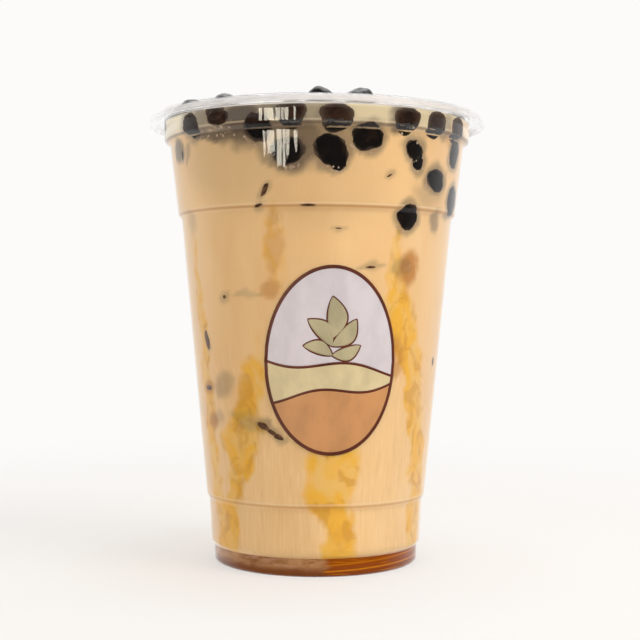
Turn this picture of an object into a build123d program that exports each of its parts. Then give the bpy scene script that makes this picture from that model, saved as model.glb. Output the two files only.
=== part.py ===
"""Milk tea with tapioca pearls in a clear plastic cup.

A thin formed cup with a rolled rim holds a layer of dark syrup, the milk tea on top of it,
and a raft of round pearls that lie on the tea's surface and stand a little above the rim.
The origin is on the table, under the middle of the cup, with +Z up.
"""

from build123d import *
import math
import os

# The cup's sheet, and the play between what touches a curved face.
sheet = 0.4
fit_gap = 0.1

# The bands of the cup's wall, from the table up: the height of each, how far its radius grows
# over that height, and the width of the ledge by which the next band steps out.
foot_height, foot_spread, foot_ledge = 5.8, 0.1, 0.9
heel_height, heel_spread, heel_ledge = 13.2, 0.6, 0.7
body_height, body_spread, body_ledge = 80.7, 7.6, 1.0
stack_height, stack_spread, stack_ledge = 21.3, 2.4, 1.6
collar_height, collar_spread = 7.4, 0.2
ledge_rise = 1.2
ledge_round = 0.7

# The base: outside radius at the table, the flat ring it stands on, and the recess inside it.
foot_radius = 29.5
foot_ring_width = 3.2
foot_round = 0.9
recess_depth = 2.4
recess_slope = 1.6
recess_round = 0.6

# The rolled rim: how far it reaches out of the collar, how deep it hangs, and its turns.
rim_reach = 4.6
rim_depth = 3.8
rim_lean = 0.7
rim_curl = 1.6
rim_inner_round = 1.5
rim_outer_round = 1.6
rim_curl_round = 0.9

# What fills the cup: the free height left under the top of the rim, and the syrup's depth.
headspace = 4.4
syrup_top = 5.4

# The pearls: the largest width, how much narrower the smallest is, the play from one ring of
# pearls to the next, and how much an egg-shaped pearl is shorter across and at its blunt end.
pearl_width = 9.4
pearl_unevenness = 0.13
ring_play = 0.35
pearl_girth = 0.95
pearl_blunt_end = 0.9
pearl_tilt = 40

# The raft is three rings round one middle pearl. Each ring gives the bearing of its first pearl
# from the front, -Y, towards +X. It lists, for every pearl from there on, the free arc that
# follows it as a share of the ring's whole free arc, and how high its middle lies over the tea,
# as a share of half its width.
wall_ring = {
    "first": -9.0,
    "free": (2.1, 12.1, 0.5, 0.8, 4.1, 4.1, 6.1, 7.1, 4.1, 32, 4.1, 5.1, 6.1, 6.1, 6.6, 7.6, 15),
    "lift": (0.1, -0.1, -0.1, -0.15, -0.15, 0.3, 0.6, 0.2, 0.5, 0.1, 0.3, 0.1, 0.6, 0.3, 0.5, 0.8, 0.8),
}
middle_ring = {
    "first": 1.4,
    "free": (4.7, 6.7, 6.4, 7.4, 7.4, 5.4, 39, 5.4, 6.4, 8.4, 5.4, 5.4, 9.8),
    "lift": (1.15, 1.1, 0.4, 0.6, 0.2, 0.5, 0.3, 0.6, 0.3, 0.6, 0.4, 0.2, 0.5),
}
inner_ring = {
    "first": -14.0,
    "free": (20, 24, 25, 27, 24, 27, 22),
    "lift": (0.3, 0.8, 0.4, 0.7, 0.9, 0.5, 0.75),
}
middle_pearl_lift = 0.85
middle_pearl_offset = 2.0

bands = (
    (foot_height, foot_spread, foot_ledge),
    (heel_height, heel_spread, heel_ledge),
    (body_height, body_spread, body_ledge),
    (stack_height, stack_spread, stack_ledge),
    (collar_height, collar_spread, 0),
)
cup_height = sum(height for height, _, _ in bands)
collar_radius = foot_radius + sum(spread + ledge for _, spread, ledge in bands)
tea_level = cup_height - headspace
tea_radius = collar_radius - sheet - collar_spread * headspace / collar_height


def inside_wall(inset=0.0):
    """Corners and rounds of the wall's inside face, from the middle of the floor to the collar's
    top, moved into the cup by inset."""
    floor = sheet + inset
    ring_inside = foot_radius - foot_ring_width
    points = [
        (0, recess_depth + floor),
        (ring_inside - recess_slope, recess_depth + floor),
        (ring_inside, floor),
        (foot_radius - floor, floor),
    ]
    rounds = [recess_round + sheet, recess_round, foot_round]
    radius = foot_radius - floor
    height = 0.0
    for band_height, spread, ledge in bands[:-1]:
        height += band_height
        radius += spread
        points.append((radius, height - ledge_rise / 2))
        radius += ledge
        points.append((radius, height + ledge_rise / 2))
        rounds += [ledge_round, ledge_round]
    points.append((radius + collar_spread, cup_height))
    return points, rounds


def cavity(inset):
    """Everything inside the cup, inset from its wall, up to the top of the rim."""
    points, rounds = inside_wall(inset)
    with BuildPart() as inside:
        with BuildSketch(Plane.XZ):
            with BuildLine():
                wall_line = FilletPolyline(*points, radius=rounds)
                Polyline(wall_line @ 1, (0, cup_height), wall_line @ 0)
            make_face()
        revolve(axis=Axis.Z)
    return inside.part


def wall_reach(height, width):
    """How far out a pearl of this width, with its middle at this height, can lie in the cup."""
    corners, _ = inside_wall()
    steps = 12
    reach = corners[-1][0]
    for step in range(-steps, steps + 1):
        share = step / steps
        level = min(height + share * width / 2, cup_height)
        for (low_radius, low), (high_radius, high) in zip(corners[3:], corners[4:]):
            if low <= level <= high:
                radius = low_radius + (high_radius - low_radius) * (level - low) / (high - low)
                half_girth = width / 2 * pearl_girth * math.sqrt(1 - share * share)
                reach = min(reach, radius - half_girth)
    return reach - fit_gap


def unevenness(number, phase):
    """A number from 0 to 1 that looks irregular from one pearl to the next."""
    return 0.5 + 0.5 * math.sin(2.4 * number * number + 1.7 * number + phase)


def pearl_seats(ring, radius, first_number, at_wall):
    """The middle, bearing and width of each pearl of a ring of the given radius. Those of a ring
    at the wall lie against it."""
    pitch_arc = math.degrees(pearl_width / radius)
    free_arc = 360 - pitch_arc * len(ring["free"])
    bearing = ring["first"]
    seats = []
    for number, (free, lift) in enumerate(zip(ring["free"], ring["lift"]), start=first_number):
        width = pearl_width * (1 - pearl_unevenness * unevenness(number, 0))
        height = tea_level + lift * width / 2
        reach = wall_reach(height, width) if at_wall else radius
        turn = math.radians(bearing)
        middle = (reach * math.sin(turn), -reach * math.cos(turn), height)
        seats.append((middle, bearing, width))
        bearing += pitch_arc + free_arc * free / sum(ring["free"])
    return seats


def pearl_shape(middle, bearing, width, number, grow=0.0):
    """An egg-shaped pearl, its long axis leaning along the ring so that its girth meets the wall."""
    lean = pearl_tilt * (2 * unevenness(number, 1.3) - 1)
    along_ring = Vector(math.cos(math.radians(bearing)), math.sin(math.radians(bearing)), 0)
    long_axis = Vector(0, 0, 1).rotate(Axis((0, 0, 0), Vector(0, 0, 1).cross(along_ring)), lean)
    pearl_plane = Plane(origin=middle, x_dir=long_axis, z_dir=long_axis.cross(along_ring))
    girth = width / 2 * pearl_girth + grow
    sharp_end = width / 2 + grow
    blunt_end = width / 2 * pearl_blunt_end + grow
    with BuildPart() as shape:
        with BuildSketch(pearl_plane):
            with BuildLine():
                side = Spline(
                    (sharp_end, 0), (0, girth), (-blunt_end, 0), tangents=((0, 1), (-1, 0), (0, -1))
                )
                Line(side @ 1, side @ 0)
            make_face()
        revolve(axis=Axis(pearl_plane.origin, pearl_plane.x_dir))
    return shape.part


# The wall ring's pearls lie against the cup, and each further ring lies a pearl inside the
# smallest radius that the largest of them could have, at the collar's ledge.
wall_ring_radius = tea_radius - stack_ledge / 2 - pearl_width * pearl_girth / 2 - fit_gap
ring_pitch = pearl_width + ring_play
seats = []
for ring_number, ring in enumerate((wall_ring, middle_ring, inner_ring)):
    ring_radius = wall_ring_radius - ring_number * ring_pitch
    seats += pearl_seats(ring, ring_radius, len(seats), ring is wall_ring)
middle_pearl_height = tea_level + middle_pearl_lift * pearl_width / 2
seats.append(((0, middle_pearl_offset, middle_pearl_height), 0, pearl_width))

os.makedirs("parts", exist_ok=True)

# The cup: one formed sheet, from the recessed base up the banded wall to the rolled rim.
wall_points, wall_rounds = inside_wall()
rim_radius = collar_radius + rim_reach
rim_underside = cup_height - rim_depth
rim_points = [
    (rim_radius - rim_lean, cup_height),
    (rim_radius, rim_underside),
    (rim_radius - rim_curl, rim_underside),
]
rim_rounds = [rim_inner_round, rim_outer_round, rim_curl_round]
with BuildPart() as cup:
    with BuildSketch(Plane.XZ):
        with BuildLine():
            FilletPolyline(*wall_points, *rim_points, radius=wall_rounds + rim_rounds)
            offset(amount=sheet, side=Side.RIGHT)
        make_face()
    revolve(axis=Axis.Z)
cup.part.label = "cup"
export_step(cup.part, "parts/cup.step")

# The contents follow the cup's inside: syrup on the floor, and the tea on the syrup.
contents = cavity(fit_gap)
with BuildPart() as syrup:
    add(contents)
    split(bisect_by=Plane.XY.offset(syrup_top), keep=Keep.BOTTOM)
syrup.part.label = "syrup"
export_step(syrup.part, "parts/syrup.step")

# The tea is hollowed where a pearl lies in it.
dents = [pearl_shape(*seat, number, grow=fit_gap) for number, seat in enumerate(seats)]
with BuildPart() as tea:
    add(contents)
    split(bisect_by=Plane.XY.offset(tea_level), keep=Keep.BOTTOM)
    split(bisect_by=Plane.XY.offset(syrup_top), keep=Keep.TOP)
    for dent in dents:
        add(dent, mode=Mode.SUBTRACT)
tea.part.label = "tea"
export_step(tea.part, "parts/tea.step")

# The pearls of the raft.
for number, seat in enumerate(seats):
    with BuildPart() as pearl:
        add(pearl_shape(*seat, number))
    name = f"pearl_{number + 1:02d}"
    pearl.part.label = name
    export_step(pearl.part, f"parts/{name}.step")

print(f"cup {cup_height:.1f} mm tall, rim radius {rim_radius:.1f}, tea level {tea_level:.1f}")
print(f"tea {tea.part.volume / 1000:.0f} ml, syrup {syrup.part.volume / 1000:.1f} ml")
print(f"sheet {cup.part.volume / 1000:.1f} ml, {len(seats)} pearls")
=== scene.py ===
"""Milk tea with tapioca pearls in a clear plastic cup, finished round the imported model.

The cup is filled in the order in which it is made: the formed cup and its print, the syrup,
the milk tea, the pearls and bubbles that hang in it, and the raft of pearls on top. The table,
the lamps and the camera come last.
"""

import math
import random

import bmesh
import bpy
import numpy as np
from mathutils import Matrix, Vector, noise
from mathutils.bvhtree import BVHTree


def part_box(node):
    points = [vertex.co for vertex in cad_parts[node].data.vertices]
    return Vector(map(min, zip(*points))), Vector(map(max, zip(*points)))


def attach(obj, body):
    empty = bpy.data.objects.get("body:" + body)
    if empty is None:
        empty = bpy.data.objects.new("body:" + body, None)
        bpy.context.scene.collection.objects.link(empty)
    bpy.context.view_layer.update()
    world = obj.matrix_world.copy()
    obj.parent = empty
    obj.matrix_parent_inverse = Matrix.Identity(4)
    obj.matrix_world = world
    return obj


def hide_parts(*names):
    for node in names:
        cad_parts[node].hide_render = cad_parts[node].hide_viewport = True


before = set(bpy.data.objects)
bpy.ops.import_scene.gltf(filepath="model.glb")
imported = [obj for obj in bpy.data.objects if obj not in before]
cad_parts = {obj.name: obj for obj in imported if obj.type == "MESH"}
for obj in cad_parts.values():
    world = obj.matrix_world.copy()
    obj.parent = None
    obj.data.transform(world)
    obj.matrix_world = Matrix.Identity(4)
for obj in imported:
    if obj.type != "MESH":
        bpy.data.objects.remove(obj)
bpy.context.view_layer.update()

# ---- The cup ----------------------------------------------------------------------------------
# A clear cup, pressed out of one thin sheet of plastic over a mould: five bands, each wider than
# the one below it, a rolled rim, and a recessed base that leaves a ring to stand on. The sheet is
# drawn down the mould, which leaves faint upright lines in it.

mm = 0.001
turn_steps = 210
longest_step = 1.2 * mm
weld = 0.001 * mm


def section_of(node):
    """The outline that a turned CAD node has on the +X side, as a bmesh of edges."""
    bm = bmesh.new()
    bm.from_mesh(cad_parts[node].data)
    bmesh.ops.remove_doubles(bm, verts=bm.verts, dist=weld)
    whole = bm.verts[:] + bm.edges[:] + bm.faces[:]
    across = dict(plane_co=(0, 0, 0), plane_no=(0, 1, 0), clear_inner=True, clear_outer=True)
    bmesh.ops.bisect_plane(bm, geom=whole, dist=weld, **across)
    far_side = [v for v in bm.verts if v.co.x < -weld]
    bmesh.ops.delete(bm, geom=far_side, context="VERTS")
    for edge in bm.edges[:]:
        cuts = math.ceil(edge.calc_length() / longest_step) - 1
        if cuts:
            bmesh.ops.subdivide_edges(bm, edges=[edge], cuts=cuts)
    return bm


def turn(bm, steps=turn_steps):
    """Spins an outline round the cup's axis into a closed shape, with its faces outwards."""
    outline = bm.verts[:] + bm.edges[:]
    about = dict(cent=(0, 0, 0), axis=(0, 0, 1), angle=math.tau, space=Matrix())
    bmesh.ops.spin(bm, geom=outline, steps=steps, use_merge=True, **about)
    bmesh.ops.remove_doubles(bm, verts=bm.verts, dist=weld)
    bmesh.ops.recalc_face_normals(bm, faces=bm.faces)


def add_piece(name, bm, materials, nodes=()):
    """Makes a smooth piece of the object, in place of the CAD nodes that it stands for."""
    mesh = bpy.data.meshes.new(name)
    bm.to_mesh(mesh)
    bm.free()
    mesh.shade_smooth()
    for material in materials:
        mesh.materials.append(material)
    piece = bpy.data.objects.new(name, mesh)
    bpy.context.scene.collection.objects.link(piece)
    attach(piece, "root")
    if nodes:
        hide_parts(*nodes)
    return piece


def colour(red, green, blue):
    """A colour written in the usual 0 to 255 screen values, as linear light."""
    shares = [value / 255 for value in (red, green, blue)]
    light = [s / 12.92 if s <= 0.04045 else ((s + 0.055) / 1.055) ** 2.4 for s in shares]
    return (*light, 1.0)


def dress(tree, node, inputs):
    """Sets a node's inputs, each to a plain value or to the socket that feeds it."""
    for name, value in inputs.items():
        if isinstance(value, bpy.types.NodeSocket):
            tree.links.new(value, node.inputs[name])
        else:
            node.inputs[name].default_value = value


def put(tree, kind, inputs=None, **settings):
    """Adds a shader node with its settings and inputs."""
    made = tree.nodes.new("ShaderNode" + kind)
    for name, value in settings.items():
        setattr(made, name, value)
    dress(tree, made, inputs or {})
    return made


def blend(tree, share, first, second):
    """The colour between first and second at a share from 0 to 1."""
    return put(tree, "Mix", {0: share, 6: first, 7: second}, data_type="RGBA").outputs[2]


def ramp(tree, value, low, high, to_low=0.0, to_high=1.0):
    """Takes a value smoothly from its range to another, held at both ends."""
    ranges = {"From Min": low, "From Max": high, "To Min": to_low, "To Max": to_high}
    made = put(tree, "MapRange", {"Value": value, **ranges}, interpolation_type="SMOOTHSTEP")
    return made.outputs["Result"]


def maths(tree, operation, first, second=0.0):
    """The result of one operation on two values."""
    return put(tree, "Math", {0: first, 1: second}, operation=operation).outputs[0]


def place_in(tree):
    """The place of each spot of the surface, as its sockets X, Y and Z in metres."""
    return put(tree, "SeparateXYZ", {0: put(tree, "TexCoord").outputs["Object"]}).outputs


def new_material(name):
    """A material with its Principled shader, as (material, tree, shader)."""
    material = bpy.data.materials.new(name)
    material.use_nodes = True
    return material, material.node_tree, material.node_tree.nodes["Principled BSDF"]


# Flow is the grain that the wall, the tea and the syrup share: noise that is Width across and
# Length high, in millimetres.
flow = bpy.data.node_groups.new("Flow", "ShaderNodeTree")
flow_values = {"Width": 1.0, "Length": 10.0, "Detail": 3.0, "Twist": 0.0, "Seed": 0.0}
for name, value in flow_values.items():
    socket = flow.interface.new_socket(name, in_out="INPUT", socket_type="NodeSocketFloat")
    socket.default_value = value
flow.interface.new_socket("Value", in_out="OUTPUT", socket_type="NodeSocketFloat")
given = flow.nodes.new("NodeGroupInput").outputs
place = put(flow, "TexCoord").outputs["Object"]
spread = maths(flow, "DIVIDE", 1 / mm, given["Width"])
rise = maths(flow, "DIVIDE", 1 / mm, given["Length"])
scale = put(flow, "CombineXYZ", {"X": spread, "Y": spread, "Z": rise}).outputs[0]
scaled = put(flow, "VectorMath", {0: place, 1: scale}, operation="MULTIPLY").outputs[0]
shift = put(flow, "CombineXYZ", {"X": given["Seed"], "Z": given["Seed"]}).outputs[0]
moved = put(flow, "VectorMath", {0: scaled, 1: shift}, operation="ADD").outputs[0]
grain = {"Vector": moved, "Scale": 1.0, "Detail": given["Detail"], "Distortion": given["Twist"]}
noise_value = put(flow, "TexNoise", grain).outputs["Fac"]
flow_out = flow.nodes.new("NodeGroupOutput")
flow.links.new(noise_value, flow_out.inputs["Value"])


def flow_in(tree, width, length, detail=3.0, twist=0.0, seed=0.0):
    """Places Flow in a material, and gives its value."""
    made = put(tree, "Group", node_tree=flow)
    dress(tree, made, dict(zip(flow_values, (width, length, detail, twist, seed))))
    return made.outputs["Value"]


# The plastic is clear, and light falls straight through it on to the drink.
plastic, tree, shader = new_material("Clear plastic")
draw_lines = flow_in(tree, 1.1, 60.0, detail=2.0)
waviness = flow_in(tree, 9.0, 14.0, detail=1.0, seed=3.0)
lines_normal = put(tree, "Bump", {"Height": draw_lines, "Strength": 0.12, "Distance": 0.05 * mm})
wave_normal = put(
    tree,
    "Bump",
    {"Height": waviness, "Strength": 0.3, "Distance": 0.2 * mm, "Normal": lines_normal.outputs[0]},
)
scuffs = flow_in(tree, 2.0, 3.0, detail=5.0, seed=8.0)
dress(
    tree,
    shader,
    {
        "Base Color": colour(252, 252, 252),
        "Transmission Weight": 1.0,
        "IOR": 1.45,
        "Roughness": ramp(tree, scuffs, 0.4, 0.75, 0.02, 0.07),
        "Normal": wave_normal.outputs[0],
    },
)


def let_light_through(tree, surface):
    """Light passes a thin clear sheet on its way to what is behind it."""
    unseen = put(tree, "BsdfTransparent", {"Color": (0.97, 0.97, 0.97, 1)})
    is_shadow = put(tree, "LightPath").outputs["Is Shadow Ray"]
    through = put(tree, "MixShader", {0: is_shadow, 1: surface, 2: unseen.outputs[0]})
    tree.links.new(through.outputs[0], tree.nodes["Material Output"].inputs["Surface"])


let_light_through(tree, shader.outputs[0])

# The plastic whitens where it is rolled into the rim: the side of the roll is milky, a little greyer
# where it was stressed more, painted lighter at the left and darker at the right as painted light
# and shade, and its lowest edge is a milky painted bright line. Its top stays clear, tinted
# grey-lilac in a painted dark line.
rolled, tree, shader = new_material("Rolled plastic")
stress = ramp(tree, flow_in(tree, 3.0, 1.2, detail=3.0, seed=5.0), 0.3, 0.7)
dents = flow_in(tree, 5.0, 3.0)
rim_wave = put(tree, "Bump", {"Height": dents, "Strength": 0.2, "Distance": 0.2 * mm})
place = place_in(tree)
roll_level = place["Z"]
# Painted shade: the top of the roll is tinted grey-lilac, a dark line along the rim's top.
painted_dark_edge_share = ramp(tree, roll_level, 127.7 * mm, 128.1 * mm)
dress(
    tree,
    shader,
    {
        "Base Color": blend(tree, painted_dark_edge_share, colour(253, 253, 253), colour(204, 204, 216)),
        "Transmission Weight": 1.0,
        "IOR": 1.45,
        "Roughness": ramp(tree, stress, 0.0, 1.0, 0.04, 0.1),
        "Normal": rim_wave.outputs[0],
    },
)
# Painted light and shade: the milky part is lighter at the left and darker at the right.
painted_light_across = ramp(tree, place["X"], -44 * mm, 44 * mm)
haze_shade = blend(tree, painted_light_across, colour(255, 252, 250), colour(236, 228, 220))
stressed = ramp(tree, stress, 0.0, 1.0, 0.0, 0.5)
haze_shade = blend(tree, stressed, haze_shade, colour(224, 220, 218))
haze = put(tree, "BsdfPrincipled", {"Base Color": haze_shade, "Roughness": 0.4})
haze.inputs["Specular IOR Level"].default_value = 0.0
above_edge = ramp(tree, roll_level, 125.7 * mm, 126.5 * mm, 0.0, 0.74)
below_top = ramp(tree, roll_level, 127.9 * mm, 127.3 * mm)
whitened = maths(tree, "MULTIPLY", above_edge, below_top)
# Painted highlight: the lowest edge of the lip is a milky white line.
painted_lip_line = ramp(tree, roll_level, 125.74 * mm, 125.62 * mm, 0.0, 0.9)
whitened = maths(tree, "MAXIMUM", whitened, painted_lip_line)
facing = put(tree, "LayerWeight", {"Blend": 0.5}).outputs["Facing"]
whitened = maths(tree, "MULTIPLY", whitened, ramp(tree, facing, 0.75, 0.25))
thin = put(tree, "BsdfTransparent", {"Color": (0.99, 0.99, 0.99, 1)})
thinness = ramp(tree, facing, 0.3, 0.8, 0.15, 0.88)
clear_part = put(tree, "MixShader", {0: thinness, 1: shader.outputs[0], 2: thin.outputs[0]})
rim_surface = put(tree, "MixShader", {0: whitened, 1: clear_part.outputs[0], 2: haze.outputs[0]})
let_light_through(tree, rim_surface.outputs[0])

cup = section_of("cup")
turn(cup)
cup_skin = BVHTree.FromBMesh(cup)
cup_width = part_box("cup")[1].x
cup_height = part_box("cup")[1].z
rim_width = 4.4 * mm
rim_height = 4.2 * mm

# The lip's lower edge is drawn up as it is rolled, so that the roll hangs less deep.
lip_line = cup_height - 1.6 * mm
lip_radius = cup_width - 3.8 * mm
lip_squeeze = 0.6
for v in cup.verts:
    if v.co.z < lip_line and v.co.xy.length > lip_radius:
        v.co.z = lip_line - (lip_line - v.co.z) * lip_squeeze
for face in cup.faces:
    centre = face.calc_center_median()
    in_rim = centre.z > cup_height - rim_height and centre.xy.length > cup_width - rim_width
    face.material_index = int(in_rim)
add_piece("cup_shell", cup, [plastic, rolled], ["cup"])

# The wall's inside radius at a hundred levels to the centimetre, felt from the axis outwards.
sheet = 0.4 * mm
lowest_level = 3.3 * mm
highest_level = cup_height - 1.0 * mm
levels = np.arange(lowest_level, highest_level, 0.1 * mm)
felt = [cup_skin.ray_cast(Vector((0, 0, z)), Vector((1, 0, 0)))[0].x for z in levels]


def inside_radius(height):
    """The wall's inside radius at a height, or at an array of heights."""
    return np.interp(height, levels, felt)


# ---- The print --------------------------------------------------------------------------------
# A plain oval badge, printed on the cup in five inks: a pale sky with a sprig of leaves, a cream
# wave and an orange ground, all held by a dark brown line.

badge_bearing = math.radians(7)
badge_height = 59 * mm
badge_half_width = 18.5 * mm
badge_half_height = 25.5 * mm
badge_line = 0.95 * mm
wave_line = 0.35 * mm
leaf_line = 0.45 * mm
field_inset = 0.2 * mm
wave_inset = 0.3 * mm
ink_thickness = 0.02 * mm


def oval(across, inset=0.0):
    """Half the height of the badge at a distance across from its middle."""
    half_width = badge_half_width - inset
    share = min(1.0, abs(across) / half_width)
    return (badge_half_height - inset) * math.sqrt(1 - share * share)


def upper_wave(across):
    """The line between the sky and the cream wave, above the badge's middle."""
    return -1.5 * mm + 1.3 * mm * math.sin(across / (5.2 * mm) + 0.6) - 0.1 * across


def lower_wave(across):
    """The line between the cream wave and the orange ground."""
    return -8.5 * mm + 1.1 * mm * math.sin(across / (4.4 * mm) + 2.4) + 0.12 * across


def on_cup(across, up, lift):
    """The place of a spot of the badge, wrapped on the cup and lifted off it."""
    height = badge_height + up
    radius = float(inside_radius(height)) + sheet
    bearing = badge_bearing + across / radius
    radius += lift
    return radius * math.sin(bearing), -radius * math.cos(bearing), height


def thicken(bm, verts):
    """Closes a sheet of ink into a thin film, with its faces away from the cup."""
    film = list({face for v in verts for face in v.link_faces})
    bmesh.ops.remove_doubles(bm, verts=verts, dist=weld)
    film = [face for face in film if face.is_valid]
    bmesh.ops.recalc_face_normals(bm, faces=film)
    if film[0].normal.y > 0:
        bmesh.ops.reverse_faces(bm, faces=film)
    bmesh.ops.solidify(bm, geom=film, thickness=-ink_thickness)


def lay_ink(bm, left, right, low, high, lift, steps=(90, 24)):
    """Adds a field of ink between two edges, wrapped on the cup as a thin closed film."""
    made = bmesh.ops.create_grid(bm, x_segments=steps[0], y_segments=steps[1], size=0.5)
    verts = made["verts"]
    for v in verts:
        across = left + (right - left) * (v.co.x + 0.5)
        bottom = low(across)
        up = bottom + (max(high(across), bottom) - bottom) * (v.co.y + 0.5)
        v.co = on_cup(across, up, lift)
    thicken(bm, verts)


def ink(name, red, green, blue, depth):
    """Ink has a soft gloss, and is a little thinner here and there, where it looks deeper."""
    material, tree, shader = new_material(name)
    thin = ramp(tree, flow_in(tree, 5.0, 9.0, seed=depth), 0.35, 0.7)
    deeper = colour(red * depth, green * depth, blue * depth)
    speck = ramp(tree, flow_in(tree, 0.5, 0.5, detail=2.0, seed=4.0), 0.3, 0.7, 0.42, 0.52)
    painted = blend(tree, thin, colour(red, green, blue), deeper)
    dress(tree, shader, {"Base Color": painted, "Roughness": speck, "Specular IOR Level": 0.25})
    return material


def leaf(bm, across, up, length, lean, width, lift, grow=0.0):
    """Adds one pointed leaf, that leans from upright by an angle."""
    made = bmesh.ops.create_grid(bm, x_segments=24, y_segments=6, size=0.5)
    verts = made["verts"]
    for v in verts:
        along = v.co.x + 0.5
        half = (width / 2 + grow) * math.sin(math.pi * along) ** 0.8
        reach = (length + 2 * grow) * along - grow
        side = 2 * v.co.y * half + 0.12 * length * math.sin(math.pi * along)
        spot_across = across + reach * math.sin(lean) + side * math.cos(lean)
        spot_up = up + reach * math.cos(lean) - side * math.sin(lean)
        v.co = on_cup(spot_across, spot_up, lift)
    thicken(bm, verts)


# A leaf of the sprig: the place of its foot across and up from the badge's middle, its length,
# how far it leans, and its width.
leaves = [
    (0.0, 6.0, 11.0, 0.0, 5.2),
    (0.0, 4.0, 9.5, -0.75, 4.2),
    (0.0, 4.0, 9.5, 0.75, 4.2),
    (0.0, 1.5, 8.0, -1.25, 3.4),
    (0.0, 1.5, 8.0, 1.25, 3.4),
]
edge = badge_half_width - field_inset
sky = bmesh.new()
lay_ink(sky, -edge, edge, upper_wave, lambda a: oval(a, field_inset), 0)
cream = bmesh.new()
lay_ink(cream, -edge, edge, lambda a: max(lower_wave(a), -oval(a, field_inset)), upper_wave, 0)
ground = bmesh.new()
lay_ink(ground, -edge, edge, lambda a: -oval(a, field_inset), lower_wave, 0)

# The brown line is printed on the fields, and the leaves and the oval's own line on top of it.
khaki = bmesh.new()
brown = bmesh.new()
second_coat = ink_thickness
third_coat = 2 * ink_thickness
for across, up, length, lean, width in leaves:
    spot = (across * mm, up * mm, length * mm, lean, width * mm)
    leaf(brown, *spot, second_coat, grow=leaf_line)
    leaf(khaki, *spot, third_coat)
for wave in (upper_wave, lower_wave):
    under = lambda a: max(wave(a) - wave_line, -oval(a, wave_inset))
    over = lambda a: min(wave(a) + wave_line, oval(a, wave_inset))
    lay_ink(brown, -edge, edge, under, over, second_coat, (120, 2))
sides = (-badge_half_width, badge_half_width)
lay_ink(brown, *sides, lambda a: oval(a, badge_line), oval, third_coat, (160, 3))
lay_ink(brown, *sides, lambda a: -oval(a), lambda a: -oval(a, badge_line), third_coat, (160, 3))
add_piece("badge_sky", sky, [ink("Pale ink", 229, 219, 222, 0.95)])
add_piece("badge_wave", cream, [ink("Cream ink", 231, 211, 163, 0.93)])
add_piece("badge_ground", ground, [ink("Orange ink", 218, 156, 100, 0.93)])
add_piece("badge_leaves", khaki, [ink("Khaki ink", 199, 186, 146, 0.9)])
add_piece("badge_lines", brown, [ink("Brown ink", 112, 50, 31, 0.85)])

# ---- The syrup --------------------------------------------------------------------------------
# A spoonful of brown sugar syrup is poured in first. It lies on the floor of the cup, clear amber
# on one side and clouded with milk on the other, and streaks of it run down the wall.

# The syrup reaches this far into the wall, so that no air shows between them.
syrup_reach = 0.25 * mm

syrup_look, tree, shader = new_material("Brown sugar syrup")
along = place_in(tree)
cloud = flow_in(tree, 9.0, 2.5, detail=4.0, twist=1.6, seed=2.0)
clear_side = ramp(tree, along["X"], -3 * mm, 9 * mm)
front_side = ramp(tree, along["Y"], 8 * mm, -8 * mm)
clear_share = maths(tree, "MULTIPLY", clear_side, front_side)
clear_share = maths(tree, "ADD", clear_share, maths(tree, "MULTIPLY", cloud, 0.5))
clear_share = ramp(tree, clear_share, 0.55, 0.95)
# Painted light: thin bright gold lines where light shines through the clear syrup.
gold_glow = ramp(tree, flow_in(tree, 14.0, 0.6, detail=1.0, twist=0.6), 0.6, 0.72, 0.0, 0.5)
for gold_height, gold_rise, gold_share in ((1.5 * mm, 0.035, 0.9), (3.1 * mm, 0.05, 0.6)):
    line_at = maths(tree, "ADD", maths(tree, "MULTIPLY", along["X"], gold_rise), gold_height)
    off = maths(tree, "ABSOLUTE", maths(tree, "SUBTRACT", along["Z"], line_at))
    gold_glow = maths(tree, "MAXIMUM", gold_glow, ramp(tree, off, 0.05 * mm, 0.32 * mm, gold_share, 0.0))
upper_half = ramp(tree, along["Z"], 2.0 * mm, 4.0 * mm)
amber = blend(tree, upper_half, colour(150, 76, 26), colour(160, 80, 2))
amber = blend(tree, gold_glow, amber, colour(222, 140, 14))
swirl = flow_in(tree, 7.0, 2.6, detail=3.0, twist=1.0, seed=6.0)
milky = blend(tree, ramp(tree, swirl, 0.28, 0.7), colour(150, 98, 54), colour(204, 156, 108))
milky = blend(tree, ramp(tree, cloud, 0.5, 0.75), milky, colour(206, 158, 130))
height_share = ramp(tree, along["Z"], 1.2 * mm, 3.4 * mm)
milky = blend(tree, height_share, colour(138, 80, 40), milky)
dress(
    tree,
    shader,
    {
        "Base Color": blend(tree, clear_share, milky, amber),
        "Roughness": ramp(tree, cloud, 0.3, 0.7, 0.3, 0.4),
        "Specular IOR Level": 0.0,
    },
)
syrup = section_of("syrup")
turn(syrup)
for v in syrup.verts:
    v.co += v.normal * syrup_reach
add_piece("syrup_pool", syrup, [syrup_look], ["syrup"])

# ---- The pearls at the wall -------------------------------------------------------------------
# Cooked tapioca pearls hang in the tea against the plastic, each pressed flat where it touches.
# Lumps of ice and pearls that lie deeper only just touch it, and show as small brown marks.

# A pearl's flat lies wall_touch deep in the plastic, so that no gap shows. Milk creeps in under
# the pearl over creep_share of its half width. One narrower than lobe_width, in millimetres, is a
# lobe of the pearl above it.
wall_touch = 0.2 * mm
creep_share = 0.55
lobe_width = 5.5


def paint(tree, name):
    """A value that is painted on the mesh, from 0 to 1."""
    return put(tree, "Attribute", attribute_name=name).outputs["Fac"]


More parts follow.
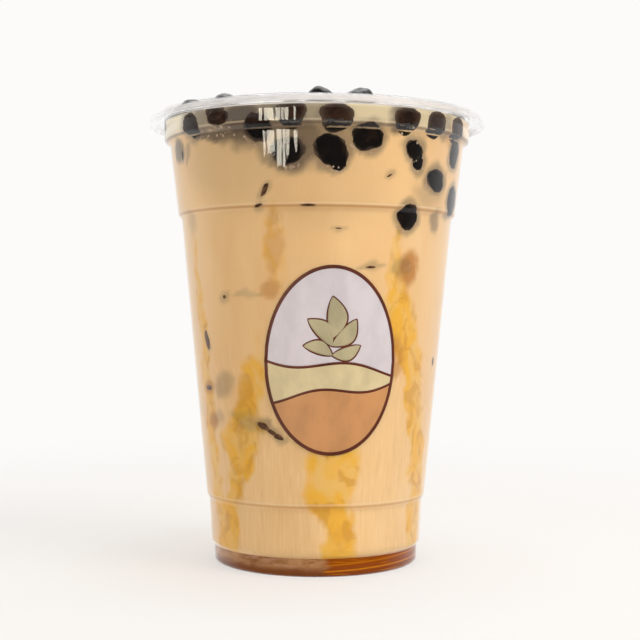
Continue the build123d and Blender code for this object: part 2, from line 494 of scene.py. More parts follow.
def tapioca_look(name, dry):
    """Dark, slightly clear jelly with a pitted skin. Only where it is in air does it shine."""
    material, tree, shader = new_material(name)
    clear_bits = ramp(tree, flow_in(tree, 3.2, 3.2, detail=4.0, twist=0.6), 0.5, 0.8)
    # The small lighter specks are painted glints.
    speck = ramp(tree, flow_in(tree, 0.35, 0.35, detail=2.0, seed=5.0), 0.68, 0.76)
    jelly = blend(tree, clear_bits, colour(15, 10, 7), colour(40, 24, 15))
    jelly = blend(tree, speck, jelly, colour(92, 66, 46))
    if not dry:
        smears = flow_in(tree, 3.0, 2.0, detail=3.0, twist=0.8, seed=9.0)
        above_ledge = ramp(tree, place_in(tree)["Z"], 121.0 * mm, 122.2 * mm)
        milk_film = maths(tree, "MULTIPLY", ramp(tree, smears, 0.3, 0.75, 0.3, 1.0), above_ledge)
        jelly = blend(tree, milk_film, jelly, colour(66, 42, 28))
        creeping = ramp(tree, paint(tree, "film"), 0.0, 1.0, 0.0, 0.85)
        jelly = blend(tree, creeping, jelly, colour(104, 86, 70))
    pits = flow_in(tree, 0.8, 0.8, detail=3.0, seed=6.0)
    skin = put(tree, "Bump", {"Height": pits, "Strength": 0.25, "Distance": 0.12 * mm})
    gloss = ramp(tree, pits, 0.3, 0.7, 0.16, 0.3)
    dress(tree, shader, {"Base Color": jelly, "Roughness": gloss, "Normal": skin.outputs[0]})
    shader.inputs["Specular IOR Level"].default_value = 0.5 if dry else 0.0
    shader.inputs["Coat Weight"].default_value = 0.5 if dry else 0.0
    shader.inputs["Coat Roughness"].default_value = 0.08
    return material


tapioca = tapioca_look("Tapioca", True)
sunk_tapioca = tapioca_look("Tapioca behind plastic", False)

# A pearl at the wall: its bearing from the front, the height of its middle, its width and its
# upright size in millimetres, how far it leans, and how wide and how dark the painted shade round
# it is.
wall_pearls = [
    (5.4, 114.4, 10.6, 8.6, 12, 2.2, 0.6),
    (7.8, 111.2, 5.2, 4.8, -30, 1.8, 0.5),
    (18.5, 117.9, 9.6, 8.0, -10, 2.2, 0.6),
    (38.6, 115.6, 6.8, 5.6, 20, 2.4, 0.55),
    (40.8, 112.6, 4.6, 4.8, -25, 2.4, 0.55),
    (52.8, 108.2, 9.2, 6.8, 10, 2.4, 0.6),
    (39.0, 97.8, 8.2, 7.6, -15, 1.8, 0.5),
    (-10.2, 114.3, 9.4, 8.2, 0, 3.6, 0.85),
    (-21.0, 120.6, 8.6, 8.2, 15, 3.6, 0.8),
    (150.0, 112.0, 8.0, 8.6, 10, 2.4, 0.6),
    (172.0, 117.5, 8.6, 7.8, -12, 2.2, 0.6),
    (196.0, 109.0, 7.2, 6.8, 25, 2.0, 0.5),
    (214.0, 116.0, 8.2, 7.8, -8, 2.4, 0.6),
    (236.0, 118.8, 8.0, 8.2, 14, 2.4, 0.6),
    (228.0, 101.0, 6.6, 7.0, 5, 2.0, 0.5),
    (258.0, 113.0, 7.6, 8.0, -20, 2.2, 0.6),
    (-51.0, 122.6, 8.8, 7.2, 0, 2.2, 0.4),
    (-36.6, 123.8, 8.6, 4.8, 4, 2.6, 0.6),
    (112.0, 118.0, 8.4, 8.0, 8, 2.2, 0.6),
    (128.0, 107.0, 7.0, 7.4, -16, 2.0, 0.5),
    (96.0, 112.5, 7.8, 7.2, 12, 2.2, 0.6),
    (66.2, 116.4, 8.0, 8.8, 0, 2.0, 0.5),
    (70.3, 103.6, 9.4, 8.8, 4, 2.0, 0.5),
    (-62.3, 115.5, 1.3, 3.2, 12, 1.8, 0.5),
]
# A mark where something deeper just touches the wall, in the same terms.
wall_marks = [
    (-19.6, 104.2, 1.5, 4.4, 28, 1.8, 0.35),
    (-22.5, 100.2, 2.8, 0.8, -15, 1.6, 0.3),
    (-3.1, 100.1, 4.2, 0.7, 0, 1.2, 0.2),
    (28.2, 108.3, 2.0, 0.6, -30, 1.8, 0.35),
    (22.8, 84.0, 3.4, 0.7, -3, 1.8, 0.35),
    (-42.3, 76.1, 1.5, 1.1, 0, 2.4, 0.3),
    (8.8, 94.1, 2.0, 0.4, 2, 1.2, 0.3),
    (-57.4, 64.3, 2.4, 6.0, -14, 1.0, 0.2),
    (-59.4, 50.8, 3.6, 1.5, 0, 1.4, 0.2),
    (-24.8, 41.2, 4.2, 2.0, 24, 2.2, 0.5),
    (-20.6, 39.6, 3.4, 1.3, 26, 1.8, 0.45),
    (-17.4, 38.4, 3.4, 1.6, 22, 1.6, 0.4),
    (69.6, 58.2, 1.6, 2.6, -8, 0.8, 0.15),
    (118.0, 86.0, 4.6, 1.4, 12, 1.8, 0.3),
    (163.0, 72.0, 2.4, 5.2, -20, 1.8, 0.3),
    (201.0, 90.0, 3.8, 1.2, 8, 1.6, 0.3),
    (246.0, 66.0, 3.0, 4.4, 18, 1.8, 0.3),
    (180.0, 44.0, 4.8, 1.6, -24, 1.6, 0.3),
]


def lumps(direction, number, strength):
    """How far a pearl's skin stands in or out in a direction, as a share of its radius."""
    seat = Vector((number * 3.7, number * 1.9, 0))
    broad = noise.noise(direction * 1.2 + seat)
    small = noise.noise(direction * 3.1 - seat)
    return strength * (broad + 0.5 * small - 0.5)


def hang(bm, spot, number, uneven, fineness=4, is_lobe=False):
    """Adds a ball at the wall. What would stand outside lies flat on the plastic.

    Its film value is how far milk creeps in under it: 1 at the edge of the flat, 0 further in.
    A lobe grows out of the pearl above it, so milk creeps in under its lower half only.
    """
    bearing, height, width, tall, lean = spot
    film = bm.verts.layers.float.get("film") or bm.verts.layers.float.new("film")
    made = bmesh.ops.create_icosphere(bm, subdivisions=fineness, radius=1)
    leaning = Matrix.Rotation(math.radians(lean), 3, "Y")
    for v in made["verts"]:
        out = 1 + lumps(v.co.normalized(), number, uneven)
        ball = Vector((v.co.x * width / 2, v.co.y * width / 2, v.co.z * tall / 2)) * out * mm
        ball = leaning @ ball
        level = height * mm + ball.z
        wall = float(inside_radius(level)) + wall_touch
        radius = wall - max(0.0, ball.y)
        turned = math.radians(bearing) + ball.x / wall
        v.co = (radius * math.sin(turned), -radius * math.cos(turned), level)
        v[film] = 1 - min(1.0, max(0.0, -ball.y) / (creep_share * width / 2 * mm))
        if is_lobe:
            v[film] *= min(1.0, max(0.0, -ball.z / (tall / 4 * mm)))


unevenness = 0.2
hung = bmesh.new()
for number, spot in enumerate(wall_pearls):
    hang(hung, spot[:5], number, unevenness, is_lobe=spot[2] < lobe_width)
bmesh.ops.recalc_face_normals(hung, faces=hung.faces)
add_piece("pearls_at_wall", hung, [sunk_tapioca])

mark_look, tree, shader = new_material("Brown jelly")
cloudy = ramp(tree, flow_in(tree, 1.5, 1.5, detail=4.0), 0.3, 0.7)
brown_shade = blend(tree, cloudy, colour(74, 50, 36), colour(130, 94, 70))
creeping = ramp(tree, paint(tree, "film"), 0.0, 1.0, 0.0, 0.8)
brown_shade = blend(tree, creeping, brown_shade, colour(160, 124, 92))
dress(tree, shader, {"Base Color": brown_shade, "Roughness": 0.4, "Specular IOR Level": 0.0})
marks = bmesh.new()
for number, spot in enumerate(wall_marks, start=40):
    hang(marks, spot[:5], number, unevenness)
bmesh.ops.recalc_face_normals(marks, faces=marks.faces)
add_piece("marks_at_wall", marks, [mark_look])

# ---- The tea ----------------------------------------------------------------------------------
# Milk tea fills the cup from the syrup to just under the rim. It creeps up the plastic and round
# each pearl. Syrup that ran down the wall shows through it in soft, curling amber streaks.

# The tea reaches a little into the wall and down into the syrup, so that no air shows.
tea_reach = 0.14 * mm
tea_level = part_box("tea")[1].z
tea_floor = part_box("syrup")[1].z - 0.3 * mm
creep_height = 2.3 * mm
creep_width = 0.9 * mm
climb_height = 0.8 * mm
climb_fade = 0.7 * mm
climb_range = 3 * mm
tea_step = 0.78 * mm
tea_turn_steps = 330
surface_rings = 56
first_ring = 0.15 * mm
wall_band = 0.05 * mm
pearl_nodes = sorted(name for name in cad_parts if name.startswith("pearl_"))

tea = bmesh.new()
outline = [tea.verts.new((0, 0, tea_floor))]
side_steps = round((tea_level - tea_floor) / tea_step)
for level in np.linspace(tea_floor, tea_level + creep_height, side_steps):
    outline.append(tea.verts.new((float(inside_radius(level)) + tea_reach, 0, level)))
brim = float(inside_radius(tea_level + creep_height))
for from_wall in np.linspace(first_ring, brim, surface_rings):
    level = tea_level + creep_height * math.exp(-from_wall / creep_width)
    outline.append(tea.verts.new((brim - from_wall, 0, level)))
for first, second in zip(outline, outline[1:]):
    tea.edges.new((first, second))
turn(tea, tea_turn_steps)

# The tea's top climbs the pearls that stand in it.
seats = []
for node in pearl_nodes:
    low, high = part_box(node)
    middle = (low + high) / 2
    half = (high - low).length / 2 / math.sqrt(3)
    depth = min(half, abs(middle.z - tea_level))
    seats.append((middle.xy, math.sqrt(half * half - depth * depth)))
for v in tea.verts:
    if v.co.z > tea_level - weld and v.co.xy.length < brim:
        climb = 0.0
        for middle, reach in seats:
            gap = (v.co.xy - middle).length - reach
            if gap < climb_range:
                climb = max(climb, climb_height * math.exp(-max(0.0, gap) / climb_fade))
        v.co.z = max(v.co.z, tea_level + climb)
for face in tea.faces:
    centre = face.calc_center_median()
    on_top = centre.z > tea_level - weld and centre.xy.length < brim - wall_band
    face.material_index = int(on_top)

tea_look, tree, shader = new_material("Milk tea behind plastic")
broad = ramp(tree, flow_in(tree, 22.0, 40.0, detail=3.0, twist=0.5), 0.3, 0.7)
body = blend(tree, broad, colour(240, 203, 150), colour(245, 212, 162))
# Painted light and shade: pale and dark upright strands, stronger low down, for what the plastic's
# draw lines bend on to the tea.
bent_light_strands = flow_in(tree, 0.55, 60.0, detail=2.0, seed=1.0)
tea_place = place_in(tree)
tea_height = tea_place["Z"]
low_down = ramp(tree, tea_height, 75 * mm, 45 * mm)
pale_share = ramp(tree, low_down, 0, 1, 0.12, 0.6)
pale = maths(tree, "MULTIPLY", ramp(tree, bent_light_strands, 0.5, 0.75), pale_share)
body = blend(tree, pale, body, colour(250, 220, 174))
dark_share = ramp(tree, low_down, 0, 1, 0.05, 0.22)
dark = maths(tree, "MULTIPLY", ramp(tree, bent_light_strands, 0.45, 0.25), dark_share)
body = blend(tree, dark, body, colour(212, 166, 116))
# Above the upper step the tea is painted paler and greyer, a painted reflection of the collar, and
# paler still at its far left and right, a painted glow of light through the milk.
left_glow = ramp(tree, tea_place["X"], -26 * mm, -38 * mm)
collar_sheen_and_glow = blend(tree, left_glow, colour(226, 210, 176), colour(255, 246, 226))
right_glow = ramp(tree, tea_place["X"], 36 * mm, 43 * mm)
collar_sheen_and_glow = blend(tree, right_glow, collar_sheen_and_glow, colour(255, 234, 210))
body = blend(tree, ramp(tree, tea_height, 120.8 * mm, 121.8 * mm), body, collar_sheen_and_glow)

syrup_paint = paint(tree, "syrup")
curls = flow_in(tree, 7.0, 12.0, detail=2.0, twist=1.2, seed=2.0)
ragged = maths(tree, "MULTIPLY", maths(tree, "SUBTRACT", curls, 0.5), 0.9)
ragged = maths(tree, "ADD", syrup_paint, ragged)
streak = maths(tree, "MULTIPLY", ramp(tree, ragged, 0.02, 0.8), ramp(tree, syrup_paint, 0.0, 0.3))
amber = blend(tree, ramp(tree, curls, 0.36, 0.62), colour(240, 200, 118), colour(242, 190, 72))
folds = ramp(tree, flow_in(tree, 8.0, 9.0, detail=3.0, twist=1.6, seed=12.0), 0.48, 0.62)
amber = blend(tree, maths(tree, "MULTIPLY", folds, 0.6), amber, colour(214, 156, 62))
body = blend(tree, maths(tree, "MULTIPLY", streak, 0.94), body, amber)

patches = ramp(tree, flow_in(tree, 5.0, 7.0, detail=2.0, twist=0.8, seed=9.0), 0.25, 0.5)
toffee = maths(tree, "MULTIPLY", paint(tree, "toffee"), patches)
body = blend(tree, toffee, body, colour(202, 142, 74))
# Painted shade: the tea is darkened round the pearls and marks at the wall and under the rim, over
# the dark things that show through it.
body = blend(tree, paint(tree, "veil_and_shade"), body, colour(98, 84, 73))

# Each step of the wall bends the light into a pale line over a darker one.
pale_rise = 0.7
for step_height, line_shade, strength in (
    (121.3, colour(118, 92, 70), 0.6),
    (100.0, colour(196, 138, 78), 0.6),
    (19.3, colour(206, 152, 96), 0.5),
):
    off = maths(tree, "ABSOLUTE", maths(tree, "SUBTRACT", tea_height, step_height * mm))
    body = blend(tree, ramp(tree, off, 0.1 * mm, 0.45 * mm, strength, 0.0), body, line_shade)
    off = maths(tree, "ABSOLUTE", maths(tree, "SUBTRACT", tea_height, (step_height + pale_rise) * mm))
    body = blend(tree, ramp(tree, off, 0.0, 0.4 * mm, 0.5, 0.0), body, colour(250, 226, 190))
dullness = ramp(tree, curls, 0.3, 0.7, 0.4, 0.5)
dress(tree, shader, {"Base Color": body, "Roughness": dullness, "Specular IOR Level": 0.0})

top_look, tree, shader = new_material("Milk tea surface")
froth = ramp(tree, flow_in(tree, 6.0, 6.0, detail=4.0, twist=1.0), 0.35, 0.7)
surface = blend(tree, froth, colour(224, 182, 132), colour(240, 208, 166))
swell = flow_in(tree, 4.0, 4.0)
ripple = put(tree, "Bump", {"Height": swell, "Strength": 0.15, "Distance": 0.3 * mm})
wetness = ramp(tree, froth, 0.0, 1.0, 0.08, 0.2)
dress(tree, shader, {"Base Color": surface, "Roughness": wetness, "Normal": ripple.outputs[0]})

body_of_tea = add_piece("milk_tea", tea, [tea_look, top_look], ["tea"])

# The paint of the tea at the wall, one value for each corner of its mesh.
places = np.empty(len(body_of_tea.data.vertices) * 3)
body_of_tea.data.vertices.foreach_get("co", places)
east, north, up = places.reshape(-1, 3).T / mm
bearings = np.degrees(np.arctan2(east, -north))
wall_radius = np.hypot(east, north)
wobble = np.array([noise.noise(Vector(p) * 0.16) for p in zip(east, north, up)])
tremor = np.array([noise.noise(Vector(p) * 0.5) for p in zip(east, north, up)])


def soft(distance, edge, fade):
    """1 inside the edge, and 0 once past it by the fade."""
    share = np.clip((distance - edge) / fade, 0, 1)
    return 1 - share * share * (3 - 2 * share)


def turned_from(bearing):
    """The arc in millimetres from a bearing, the short way round."""
    away = (bearings - bearing + 180) % 360 - 180
    return wall_radius * np.radians(away)


def blot(bearing, height, width, tall, lean, spread):
    """The share of a soft spot at each corner: 1 in it, fading out over the spread."""
    across = turned_from(bearing) + 0.9 * tremor
    rise = up - height + 1.2 * wobble + 0.6 * tremor
    slant = math.radians(lean)
    along = across * math.cos(slant) - rise * math.sin(slant)
    upright = across * math.sin(slant) + rise * math.cos(slant)
    reach = np.hypot(along / (width / 2), upright / (tall / 2))
    distance = (reach - 1) * np.hypot(along, upright) / np.maximum(reach, 1e-6)
    return soft(distance, 0, spread)


# A veil: a dark spot painted on the tea, partly something dark that lies a little behind the wall
# and partly painted shade round the pearls and under the rim, as (bearing, height, width, upright
# size, lean, spread, strength).
veil_and_shade_spots = [
    (-65.5, 117.0, 5.8, 5.4, 4, 1.8, 0.75),
    (50.0, 104.6, 9.0, 3.0, 0, 5.0, 0.28),
    (-57.5, 116.0, 1.2, 5.0, 20, 2.0, 0.4),
    (-63.0, 97.4, 3.0, 3.4, 0, 3.0, 0.18),
    (56.7, 97.4, 3.0, 4.4, 0, 2.4, 0.55),
    (-26.5, 123.0, 9.0, 7.0, 0, 3.0, 0.92),
    (-45.0, 123.5, 4.5, 7.0, 0, 2.5, 0.6),
    (-14.0, 122.5, 14.0, 6.0, 0, 3.0, 0.75),
    (-1.5, 123.0, 7.0, 7.0, 0, 3.0, 0.5),
    (5.0, 121.5, 8.0, 9.0, 0, 3.0, 0.6),
    (29.5, 123.5, 3.0, 6.0, 0, 2.4, 0.75),
    (54.0, 122.5, 3.0, 6.0, 0, 1.6, 0.4),
    (-27.0, 119.6, 32.0, 2.8, 0, 6.5, 0.85),
    (-9.0, 119.0, 14.0, 4.0, 0, 4.0, 0.72),
    (2.0, 106.0, 26.0, 14.0, 0, 10.0, 0.08),
    (-22.0, 118.5, 8.0, 6.0, 0, 3.0, 0.5),
    (-1.0, 117.0, 12.0, 9.0, 0, 5.0, 0.45),
    (-50.0, 119.0, 8.0, 2.0, 0, 4.0, 0.15),
    (-3.0, 117.0, 5.0, 8.0, 0, 3.4, 0.8),
    (11.5, 119.0, 2.6, 5.0, 0, 3.0, 0.5),
    (-18.0, 115.0, 4.0, 5.0, 0, 3.4, 0.6),
    (-24.0, 105.0, 3.0, 5.0, 28, 5.0, 0.1),
    (-34.0, 112.0, 24.0, 10.0, 0, 12.0, 0.14),
    (-30.0, 77.0, 8.0, 0.8, -4, 1.8, 0.22),
    (-47.0, 52.0, 6.0, 3.0, -30, 3.4, 0.34),
    (-33.0, 42.5, 10.0, 2.0, 10, 3.4, 0.3),
    (-52.0, 42.5, 3.0, 1.0, 10, 2.6, 0.25),
    (22.8, 84.3, 6.5, 1.0, -3, 1.8, 0.35),
    (38.0, 84.0, 5.0, 3.0, 0, 2.2, 0.3),
    (8.8, 94.1, 3.4, 0.5, 0, 1.6, 0.3),
    (130.0, 90.0, 9.0, 2.0, 10, 4.0, 0.25),
    (186.0, 82.0, 4.0, 6.0, 30, 5.0, 0.2),
    (222.0, 56.0, 8.0, 1.6, -12, 3.6, 0.25),
    (-104.0, 70.0, 3.0, 6.0, 10, 4.0, 0.25),
]
veil_and_shade = np.zeros(len(up))
for *spot, strength in veil_and_shade_spots + wall_pearls + wall_marks:
    veil_and_shade = np.maximum(veil_and_shade, strength * blot(*spot))

# A streak of syrup, from its top down: height, bearing, half width in millimetres and strength.
streaks = [
    [
        (104, -63, 0.3, 0), (90, -62, 0.8, 0.4), (76, -62, 1.4, 0.7), (64, -59, 2.0, 0.8),
        (52, -62, 2.4, 0.95), (44, -61, 2.0, 0.8), (36, -60, 2.4, 0.9), (22, -60, 2.4, 0.8),
        (15, -54, 4.0, 0.9), (6, -54, 5.0, 0.9),
    ],
    [
        (70, -24, 1.0, 0), (65, -24, 2.0, 0.35), (58, -28, 3.2, 0.5), (48, -31, 4.0, 0.65),
        (39, -38, 5.8, 0.9), (33, -39, 5.4, 0.9), (28, -41, 3.4, 0.8), (22, -44, 3.0, 0.8),
        (14, -48, 2.6, 0.8), (6, -48, 2.6, 0.7),
    ],
    [
        (104, -18, 0.8, 0), (99, -17, 2.0, 0.35), (92, -16.5, 2.4, 0.35), (86, -17, 2.4, 0.3),
        (78, -16, 1.6, 0.2), (70, -14, 1.0, 0),
    ],
    [
        (44, 4, 3.0, 0.1), (36, 8, 5.4, 0.7), (30, 9.2, 5.8, 0.95), (25.5, 8.4, 5.2, 0.95),
        (19.5, 7.2, 4.6, 0.95), (15, 11, 3.2, 1), (10.6, 12.7, 3.0, 1), (5, 12.9, 4.2, 1),
    ],
    [
        (99, 38, 0.6, 0), (92, 35, 1.2, 0.5), (85, 34, 1.6, 0.55), (79, 36, 3.4, 0.6),
        (74, 38, 5.0, 0.75), (68, 39, 6.2, 0.8), (62, 45, 5.0, 0.85), (56, 50, 3.6, 1),
        (48, 52, 3.2, 1), (36, 60, 3.4, 1), (25, 62, 3.4, 1), (15, 65, 3.2, 1), (5, 63, 3.6, 1),
    ],
    [
        (92, 112, 0.6, 0), (80, 110, 2.4, 0.7), (64, 114, 3.6, 0.8), (48, 109, 3.0, 0.9),
        (30, 112, 4.2, 0.9), (5, 106, 3.6, 0.9),
    ],
    [
        (74, 152, 0.6, 0), (60, 155, 3.0, 0.8), (42, 150, 4.4, 0.9), (22, 156, 3.2, 0.8),
        (5, 152, 3.0, 0.9),
    ],
    [
        (96, 196, 0.6, 0), (82, 194, 2.0, 0.7), (60, 199, 3.4, 0.8), (36, 193, 2.6, 0.8),
        (5, 197, 3.4, 0.9),
    ],
    [
        (60, 238, 0.8, 0), (48, 236, 3.6, 0.8), (30, 241, 4.4, 0.9), (5, 238, 3.2, 0.9),
    ],
]
syrup_share = np.zeros(len(up))
for streak_line in streaks:
    heights, at, half, strength = np.array(streak_line[::-1], float).T
    distance = np.abs(turned_from(np.interp(up, heights, at)) + 2.2 * wobble + 0.7 * tremor)
    half_width = np.interp(up, heights, half)
    here = np.interp(up, heights, strength, left=strength[0], right=0)
    faded = soft(distance, 0.5 * half_width, 0.9 * half_width + 1.2)
    syrup_share = np.maximum(syrup_share, here * faded)

# Thin toffee: jelly and melting ice that tint the tea near the wall, in a veil's terms.
toffee_spots = [
    (42.0, 84.2, 4.6, 7.5, 10, 2.6, 0.9),
    (37.0, 60.0, 4.0, 10.0, -4, 3.0, 0.6),
    (-19.0, 78.0, 3.0, 4.0, 0, 2.0, 0.6),
    (-17.0, 91.0, 3.2, 16.0, 2, 2.4, 0.35),
    (-59.4, 50.8, 5.0, 2.4, 0, 1.4, 0.5),
    (-57.5, 41.8, 3.4, 2.2, 0, 1.8, 0.8),
    (60.0, 122.0, 6.0, 5.0, 0, 2.0, 0.4),
    (140.0, 66.0, 6.0, 12.0, 8, 2.4, 0.5),
    (214.0, 78.0, 5.0, 9.0, -12, 2.0, 0.5),
]
toffee_share = np.zeros(len(up))
for *spot, strength in toffee_spots:
    toffee_share = np.maximum(toffee_share, strength * blot(*spot))
for name, values in (("veil_and_shade", veil_and_shade), ("syrup", syrup_share), ("toffee", toffee_share)):
    attribute = body_of_tea.data.attributes.new(name, "FLOAT", "POINT")
    attribute.data.foreach_set("value", values.astype(np.float32))

# ---- The bubbles ------------------------------------------------------------------------------
# Air was shaken into the drink. Small bubbles cling round the pearls at the wall, and a looser
# froth of them lies on the tea between the pearls of the raft.

random.seed(7)
bubble_look, tree, shader = new_material("Bubble film")
# Painted reflection: each bubble is pale at its rim and darker where it faces the eye.
facing = put(tree, "LayerWeight", {"Blend": 0.35}).outputs["Facing"]
film_and_rim_reflection = blend(tree, facing, colour(196, 166, 134), colour(246, 234, 214))
dress(tree, shader, {"Base Color": film_and_rim_reflection, "Roughness": 0.12, "Coat Weight": 0.6})
bubbles = bmesh.new()
bubbles_to_a_pearl = 9
froth_draws = 420
froth_radius = 43
froth_rise = 0.1 * mm
froth_overlap = 0.2 * mm


def cling(bearing, height, size):
    """Adds one bubble at the wall."""
    hang(bubbles, (bearing, height, size, size, 0), 0, 0, fineness=2)


for bearing, height, width, tall, *_ in wall_pearls:
    for _ in range(bubbles_to_a_pearl):
        round_it = math.radians(random.uniform(200, 340))
        away = 0.5 * width * random.uniform(1.02, 1.2)
        level = height + 0.5 * tall * random.uniform(1.02, 1.2) * math.sin(round_it)
        size = random.uniform(0.3, 0.75)
        aside = away * math.cos(round_it) * mm / float(inside_radius(level * mm))
        cling(bearing + math.degrees(aside), level, size)

# Froth at the wall, in millimetres: its bearing, height and width, and its number of bubbles.
for bearing, height, width, amount in ((-38, 120.0, 12, 14), (40, 118.5, 6, 8), (35, 120.5, 7, 6)):
    for _ in range(amount):
        size = random.uniform(0.25, 0.8)
        aside = random.uniform(-width / 2, width / 2) / froth_radius
        cling(bearing + math.degrees(aside), height + random.uniform(-1.4, 1.0), size)

# Froth on the tea. A bubble that would lie on a pearl is left out.
for _ in range(froth_draws):
    turned = random.uniform(0, math.tau)
    out = brim * math.sqrt(random.uniform(0.02, 0.98))
    spot = Vector((out * math.sin(turned), -out * math.cos(turned)))
    if any((spot - middle).length < reach - froth_overlap for middle, reach in seats):
        continue
    size = random.uniform(0.3, 1.0) * mm
    afloat = Matrix.Translation((spot.x, spot.y, tea_level + froth_rise))
    bmesh.ops.create_icosphere(bubbles, subdivisions=2, radius=size / 2, matrix=afloat)
bmesh.ops.recalc_face_normals(bubbles, faces=bubbles.faces)
add_piece("bubbles", bubbles, [bubble_look])

# ---- The raft of pearls -----------------------------------------------------------------------
# Boiled pearls float in a crowded raft and stand a little over the rim, soft and uneven, with a
# sticky gloss. Those of the outer ring are squashed flat against the plastic.

# The outer ring is pressed to the plastic up to a level above the tea, the shy pearls hardly at
# all. A pearl's top sinks by its slump and its foot droops. Milk creeps in under each from the
# edge of its flat, as far as the film reaches.
wall_ring = 17
press = 3.4 * mm
press_top = tea_level + 4.0 * mm
press_fade = 3 * mm
shy_pearls = (6, 16)
shy_share = 0.1
slump = {16: 0.76, 17: 0.76}
usual_slump = 0.92
droop = 1.15
film_reach = 2.4 * mm
flat_depth = 0.02 * mm
raft_unevenness = 0.1

for number, node in enumerate(pearl_nodes, start=1):
    low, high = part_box(node)
    middle = (low + high) / 2
    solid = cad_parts[node].data
    skin_of_node = BVHTree.FromPolygons(
        [v.co for v in solid.vertices], [p.vertices for p in solid.polygons]
    )
    at_wall = number <= wall_ring
    pearl = bmesh.new()
    film = pearl.verts.layers.float.new("film")
    bmesh.ops.create_icosphere(pearl, subdivisions=4, radius=1)
    for v in pearl.verts:
        direction = v.co.normalized()
        skin_point = skin_of_node.ray_cast(middle, direction)[0]
        reach = (skin_point - middle) * (1 + lumps(direction, number, raft_unevenness))
        reach.z *= slump.get(number, usual_slump) if reach.z > 0 else (droop if at_wall else 1)
        v.co = middle + reach
        if at_wall:
            wetted = min(1, max(0, (press_top - v.co.z) / press_fade))
            limit = float(inside_radius(v.co.z)) + wall_touch
            out = v.co.xy.length
            pressed = press * wetted * (shy_share if number in shy_pearls else 1)
            v.co.xy *= min(out + pressed, max(limit, out)) / out
            v[film] = 1 - min(1.0, max(0.0, out + pressed - limit) / film_reach)
    for face in pearl.faces:
        centre = face.calc_center_median()
        gap = float(inside_radius(centre.z)) + wall_touch - centre.xy.length
        face.material_index = int(at_wall and gap < flat_depth)
    add_piece(node + "_cooked", pearl, [tapioca, sunk_tapioca], [node])

# ---- The studio -------------------------------------------------------------------------------
# A pale table that fades into a white backdrop, a large soft lamp at the right, a weaker one at
# the left, and a camera level with the middle of the cup.

table_radius = 0.6
backdrop_shade = colour(252, 251, 249)


def seen_straight(tree):
    """1 where a surface is seen by the camera itself, or by it through clear plastic."""
    rays = put(tree, "LightPath").outputs
    return maths(tree, "MAXIMUM", rays["Is Camera Ray"], rays["Is Transmission Ray"])


def add_stage_piece(name, bm, material):
    """Makes a piece of the studio, which is no part of the object."""
    mesh = bpy.data.meshes.new(name)
    bm.to_mesh(mesh)
    bm.free()
    mesh.materials.append(material)
    piece = bpy.data.objects.new(name, mesh)
    bpy.context.scene.collection.objects.link(piece)
    return piece


table_look, tree, shader = new_material("Pale table")
table_place = put(tree, "TexCoord").outputs["Object"]
far_off = put(tree, "VectorMath", {0: table_place}, operation="LENGTH").outputs["Value"]
fade = ramp(tree, far_off, 0.1, 0.4, 0.6, 1.0)
# Painted shadow: the table is a warmer, darker cream close to the cup on its left, where the drink's
# amber light falls.
left_side = ramp(tree, place_in(tree)["X"], 30 * mm, -30 * mm)
painted_warm_shadow = maths(tree, "MULTIPLY", ramp(tree, far_off, 90 * mm, 34 * mm), left_side)
dress(
    tree,
    shader,
    {
        "Base Color": blend(tree, painted_warm_shadow, colour(247, 241, 235), colour(246, 232, 216)),
        "Roughness": 0.7,
        "Specular IOR Level": 0.1,
    },
)
white = put(tree, "Emission", {"Color": backdrop_shade, "Strength": 1.0})
faded = maths(tree, "MULTIPLY", fade, seen_straight(tree))
to_white = put(tree, "MixShader", {0: faded, 1: shader.outputs[0], 2: white.outputs[0]})
tree.links.new(to_white.outputs[0], tree.nodes["Material Output"].inputs["Surface"])
table = bmesh.new()
bmesh.ops.create_circle(table, cap_ends=True, segments=96, radius=table_radius)
table_piece = add_stage_piece("table", table, table_look)
table_piece.visible_glossy = False

world = bpy.data.worlds.new("Studio")
bpy.context.scene.world = world
world.use_nodes = True
tree = world.node_tree
ambient = tree.nodes["Background"]
dress(tree, ambient, {"Color": (1, 1, 1, 1), "Strength": 0.5})
backdrop = put(tree, "Background", {"Color": backdrop_shade, "Strength": 1.0})
room_side = put(tree, "SeparateXYZ", {0: put(tree, "TexCoord").outputs["Generated"]}).outputs["Y"]
room_light = ramp(tree, room_side, -0.3, 0.6, 0.12, 1.0)
room = put(tree, "Background", {"Color": (1, 1, 1, 1), "Strength": room_light})
mirrored = put(tree, "LightPath").outputs["Is Glossy Ray"]
glossy = put(tree, "MixShader", {0: mirrored, 1: ambient.outputs[0], 2: room.outputs[0]})
straight = seen_straight(tree)
mixed = put(tree, "MixShader", {0: straight, 1: glossy.outputs[0], 2: backdrop.outputs[0]})
tree.links.new(mixed.outputs[0], tree.nodes["World Output"].inputs["Surface"])


def lamp(name, place, size, power):
    """A square softbox that faces the cup."""
    light = bpy.data.lights.new(name, "AREA")
    light.size = size
    light.energy = power
    box = bpy.data.objects.new(name, light)
    box.location = place
    aim = Vector((0, 0, cup_height / 2)) - Vector(place)
    box.rotation_euler = aim.to_track_quat("-Z", "Y").to_euler()
    bpy.context.scene.collection.objects.link(box)
    box.visible_camera = False
    box.visible_transmission = False


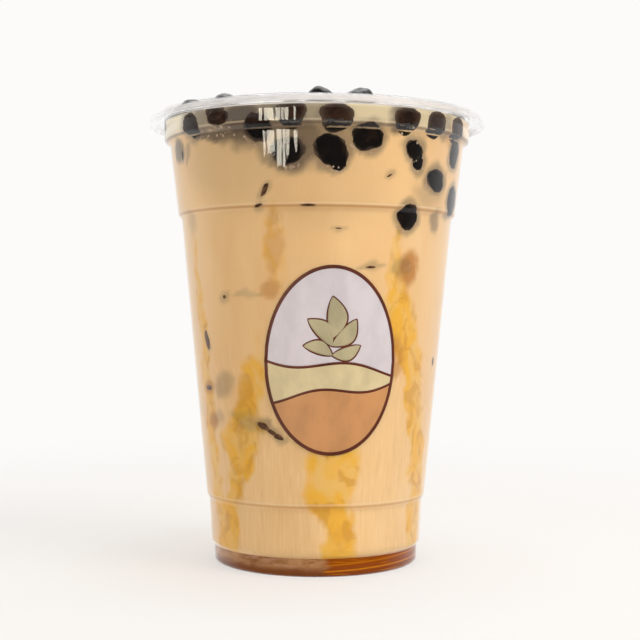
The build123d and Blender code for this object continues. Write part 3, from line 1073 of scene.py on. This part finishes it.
lamp("key softbox", (0.75, -0.45, 0.75), 0.6, 5.0)
lamp("fill softbox", (-0.8, -0.6, 0.5), 0.6, 0.6)
lamp("overhead softbox", (0.1, 0.1, 1.2), 0.9, 5.0)

# Tall window panes stand in front at the left. They only show as a reflection in the plastic.
# Each pane has its left and right edges and its sill, in metres.
window_bearing = math.radians(-23.5)
window_distance = 1.2
pane_tops = 0.5
panes = (
    (-0.37, -0.33, 0.0),
    (-0.30, -0.16, 0.0),
    (-0.13, -0.05, -0.018),
    (-0.03, 0.005, -0.022),
    (0.015, 0.07, -0.01),
    (0.15, 0.19, -0.006),
)
window = bmesh.new()
stood_up = Matrix.Rotation(math.radians(90), 4, "X")
set_back = Matrix.Translation((0, -window_distance, 0))
hung_at = Matrix.Rotation(window_bearing, 4, "Z") @ set_back @ stood_up
for left, right, sill in panes:
    made = bmesh.ops.create_grid(window, x_segments=1, y_segments=1, size=0.5)
    for v in made["verts"]:
        up_pane = sill + (pane_tops - sill) * (v.co.y + 0.5)
        v.co = hung_at @ Vector((left + (right - left) * (v.co.x + 0.5), up_pane, 0))
window_look, tree, shader = new_material("Window light")
glow = put(tree, "Emission", {"Color": colour(255, 247, 226), "Strength": 16.0})
tree.links.new(glow.outputs[0], tree.nodes["Material Output"].inputs["Surface"])
window_piece = add_stage_piece("window", window, window_look)
for ray in ("camera", "diffuse", "transmission", "shadow"):
    setattr(window_piece, "visible_" + ray, False)

# The camera's lens is given as its length over the width of the picture.
camera_distance = 370 * mm
camera_height = 70.4 * mm
camera_side = 1.1 * mm
camera_dip = math.radians(0.09)
camera_roll = math.radians(0.2)
lens_share = 1258 / 640
camera_data = bpy.data.cameras.new("camera")
camera_data.sensor_width = 36
camera_data.lens = lens_share * camera_data.sensor_width
camera_data.clip_start = 0.01
camera = bpy.data.objects.new("camera", camera_data)
camera.location = (camera_side, -camera_distance, camera_height)
level_view = Matrix.Rotation(math.radians(90) - camera_dip, 4, "X")
camera.rotation_euler = (level_view @ Matrix.Rotation(camera_roll, 4, "Z")).to_euler()
bpy.context.scene.collection.objects.link(camera)
bpy.context.scene.camera = camera
bpy.context.scene.view_settings.view_transform = "Standard"
